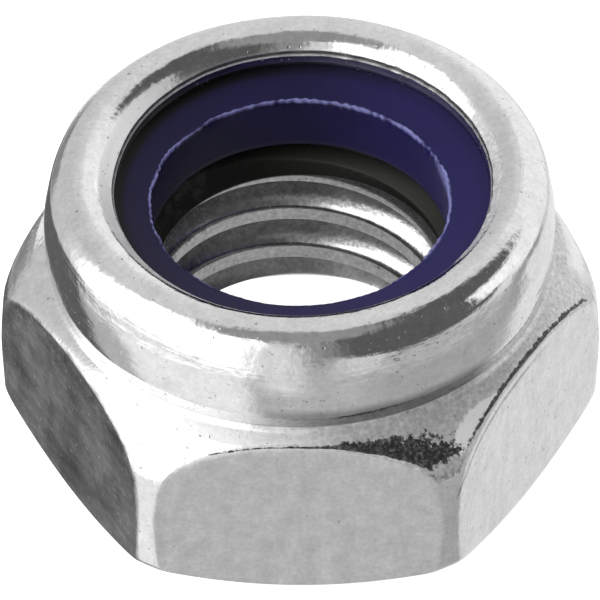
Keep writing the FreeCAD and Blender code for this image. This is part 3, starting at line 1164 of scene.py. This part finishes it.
# Azimuth, elevation, half width, half height, soft edge, level
CARDS = {
    "wall_back_right": (48, 14, 40, 34, 7, 1.04),
    "low_back_right": (66, -26, 13, 10, 5, 0.38),
    "wall_back_left": (-40, 8, 24, 42, 10, 0.66),
    "patch_back_left": (-34, -12, 10, 13, 5, 0.28),
    "glint_back": (-16, -31, 5, 12, 3, 1.35),
    "box_left": (-118.5, 21, 41.5, 48, 7, 1.75),
    "gap_front": (-174, 2, 8, 40, 8, 0.90),
    "dim_front": (172, 24, 8, 50, 9, 0.34),
    "strip_right": (89, 17, 13, 20, 4, 1.2),
    "floor_left": (-128, -46, 30, 18, 5, 1.03),
    "floor_dark": (-41, -46, 33, 18, 5, 0.13),
    "floor_back": (30, -46, 38, 18, 6, 0.90),
    "floor_right": (112, -46, 36, 18, 9, 0.45),
}


def card_mask(tree, azimuth, elevation, middle, height, half_width, half_height, soft):
    """Share of a card in a direction: 1 inside its edges, 0 outside."""
    turned = math_node(tree, "WRAP", math_node(tree, "SUBTRACT", azimuth, middle), 180, -180)
    sideways = math_node(tree, "ABSOLUTE", turned)
    above = math_node(tree, "ABSOLUTE", math_node(tree, "SUBTRACT", elevation, height))
    across = step_node(tree, sideways, (half_width + soft, half_width - soft))
    along = step_node(tree, above, (half_height + soft, half_height - soft))
    return math_node(tree, "MULTIPLY", across, along)


def disc_mask(tree, direction, azimuth, elevation, radius, soft):
    """Share of a round disc in a direction."""
    turn = math.radians(azimuth)
    lift = math.radians(elevation)
    middle = (math.sin(turn) * math.cos(lift), math.cos(turn) * math.cos(lift), math.sin(lift))
    outer = math.cos(math.radians(radius + soft))
    inner = math.cos(math.radians(radius - soft))
    return step_node(tree, dot_node(tree, direction, middle), (outer, inner))


def world():
    """Studio round the nut: pale ceiling and floor, soft box, dark and light cards, white to the camera."""
    surroundings = bpy.data.worlds.new("studio")
    surroundings.use_nodes = True
    tree = surroundings.node_tree
    direction = tree.nodes.new("ShaderNodeTexCoord").outputs["Generated"]
    x, y, z = split_node(tree, direction)
    degrees = 180 / math.pi
    azimuth = math_node(tree, "MULTIPLY", math_node(tree, "ARCTAN2", x, y), degrees)
    elevation = math_node(tree, "MULTIPLY", math_node(tree, "ARCSINE", z), degrees)
    level = blend_node(tree, step_node(tree, elevation, HORIZON), CEILING_LEVEL, FLOOR_LEVEL)
    *wall, brightness = DARK_WALL
    level = blend_node(tree, disc_mask(tree, direction, *wall), level, brightness)
    for *card, brightness in CARDS.values():
        level = blend_node(tree, card_mask(tree, azimuth, elevation, *card), level, brightness)
    for *disc, brightness in DISCS.values():
        level = blend_node(tree, disc_mask(tree, direction, *disc), level, brightness)
    path = tree.nodes.new("ShaderNodeLightPath")
    seen = math_node(tree, "MAXIMUM", path.outputs["Is Camera Ray"], path.outputs["Is Transmission Ray"])
    background = tree.nodes["Background"]
    background.inputs["Color"].default_value = (1, 1, 1, 1)
    tree.links.new(blend_node(tree, seen, level, 1.0), background.inputs["Strength"])
    bpy.context.scene.world = surroundings


# Camera, as fitted to the photograph: a long lens, 44 degrees above the floor
VIEW_ELEVATION = 43.82
VIEW_AZIMUTH = 0.66
VIEW_ROLL = -0.16
VIEW_DISTANCE = 123.08
VIEW_LENS = 487.07
VIEW_TARGET = 2.235
SENSOR_WIDTH = 36
NEAREST = 1
FARTHEST = 10000


def camera():
    """Camera at the photograph's viewing angle."""
    elevation = math.radians(VIEW_ELEVATION)
    azimuth = math.radians(VIEW_AZIMUTH)
    roll = math.radians(VIEW_ROLL)
    back = Vector((
        math.sin(azimuth) * math.cos(elevation),
        -math.cos(azimuth) * math.cos(elevation),
        math.sin(elevation),
    ))
    right = Vector((math.cos(azimuth), math.sin(azimuth), 0))
    up = back.cross(right)
    turned_right = right * math.cos(roll) + up * math.sin(roll)
    turned_up = up * math.cos(roll) - right * math.sin(roll)
    data = bpy.data.cameras.new("camera")
    data.lens = VIEW_LENS
    data.sensor_width = SENSOR_WIDTH
    data.clip_start = NEAREST * MM
    data.clip_end = FARTHEST * MM
    eye = bpy.data.objects.new("camera", data)
    rotation = Matrix((turned_right, turned_up, back)).transposed().to_4x4()
    place = (Vector((0, 0, VIEW_TARGET)) + back * VIEW_DISTANCE) * MM
    eye.matrix_world = Matrix.Translation(place) @ rotation
    bpy.context.scene.collection.objects.link(eye)
    bpy.context.scene.camera = eye


camera()
floor()
floor_in_hole()
world()

steel_rows = body_rows()
steel = ring_object("nut_body_plated", uneven(ragged(steel_rows, BODY_ANGLES), BODY_ANGLES), BODY_ANGLES)
for name, shares in zip(("satin", "matte", "bare"), finish_shares(steel_rows)):
    set_share(steel, name, shares)
steel.data.materials.append(plated_steel())
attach(steel, "root")
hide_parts("nut_body")

nylon_rows, burr_share, rim_share = insert_rows()
nylon = ring_object("nylon_ring", nylon_rows, INSERT_ANGLES)
set_share(nylon, "burr", burr_share)
# Share of the painted shade under the rolled edge
set_share(nylon, "rim", rim_share)
nylon.data.materials.append(blue_nylon())
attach(nylon, "root")
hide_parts("nylon_insert")

bpy.context.scene.view_settings.view_transform = "Standard"
